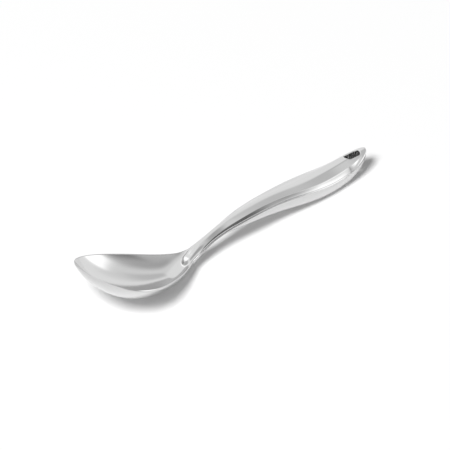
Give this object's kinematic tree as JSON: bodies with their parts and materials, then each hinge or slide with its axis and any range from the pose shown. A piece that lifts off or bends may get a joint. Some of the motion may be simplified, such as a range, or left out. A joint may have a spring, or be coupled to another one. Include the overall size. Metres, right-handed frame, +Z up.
{
  "type": "salad spoon",
  "caption": "Salad spoon in polished steel with an oval tilted bowl, a ribbed S-curved handle and a hanging hole at its end.",
  "frame": {"origin": "on the table under the middle of the spoon, at the bottom centre of its box", "axes": "+X from the bowl tip to the handle end, +Z up, Y across the spoon with Y = 0 its plane of symmetry"},
  "size_m": [0.2658, 0.06, 0.0411],
  "materials": {
    "steel": "polished stainless steel"
  },
  "bodies": {
    "root": {"spoon": "steel"}
  },
  "joints": []
}
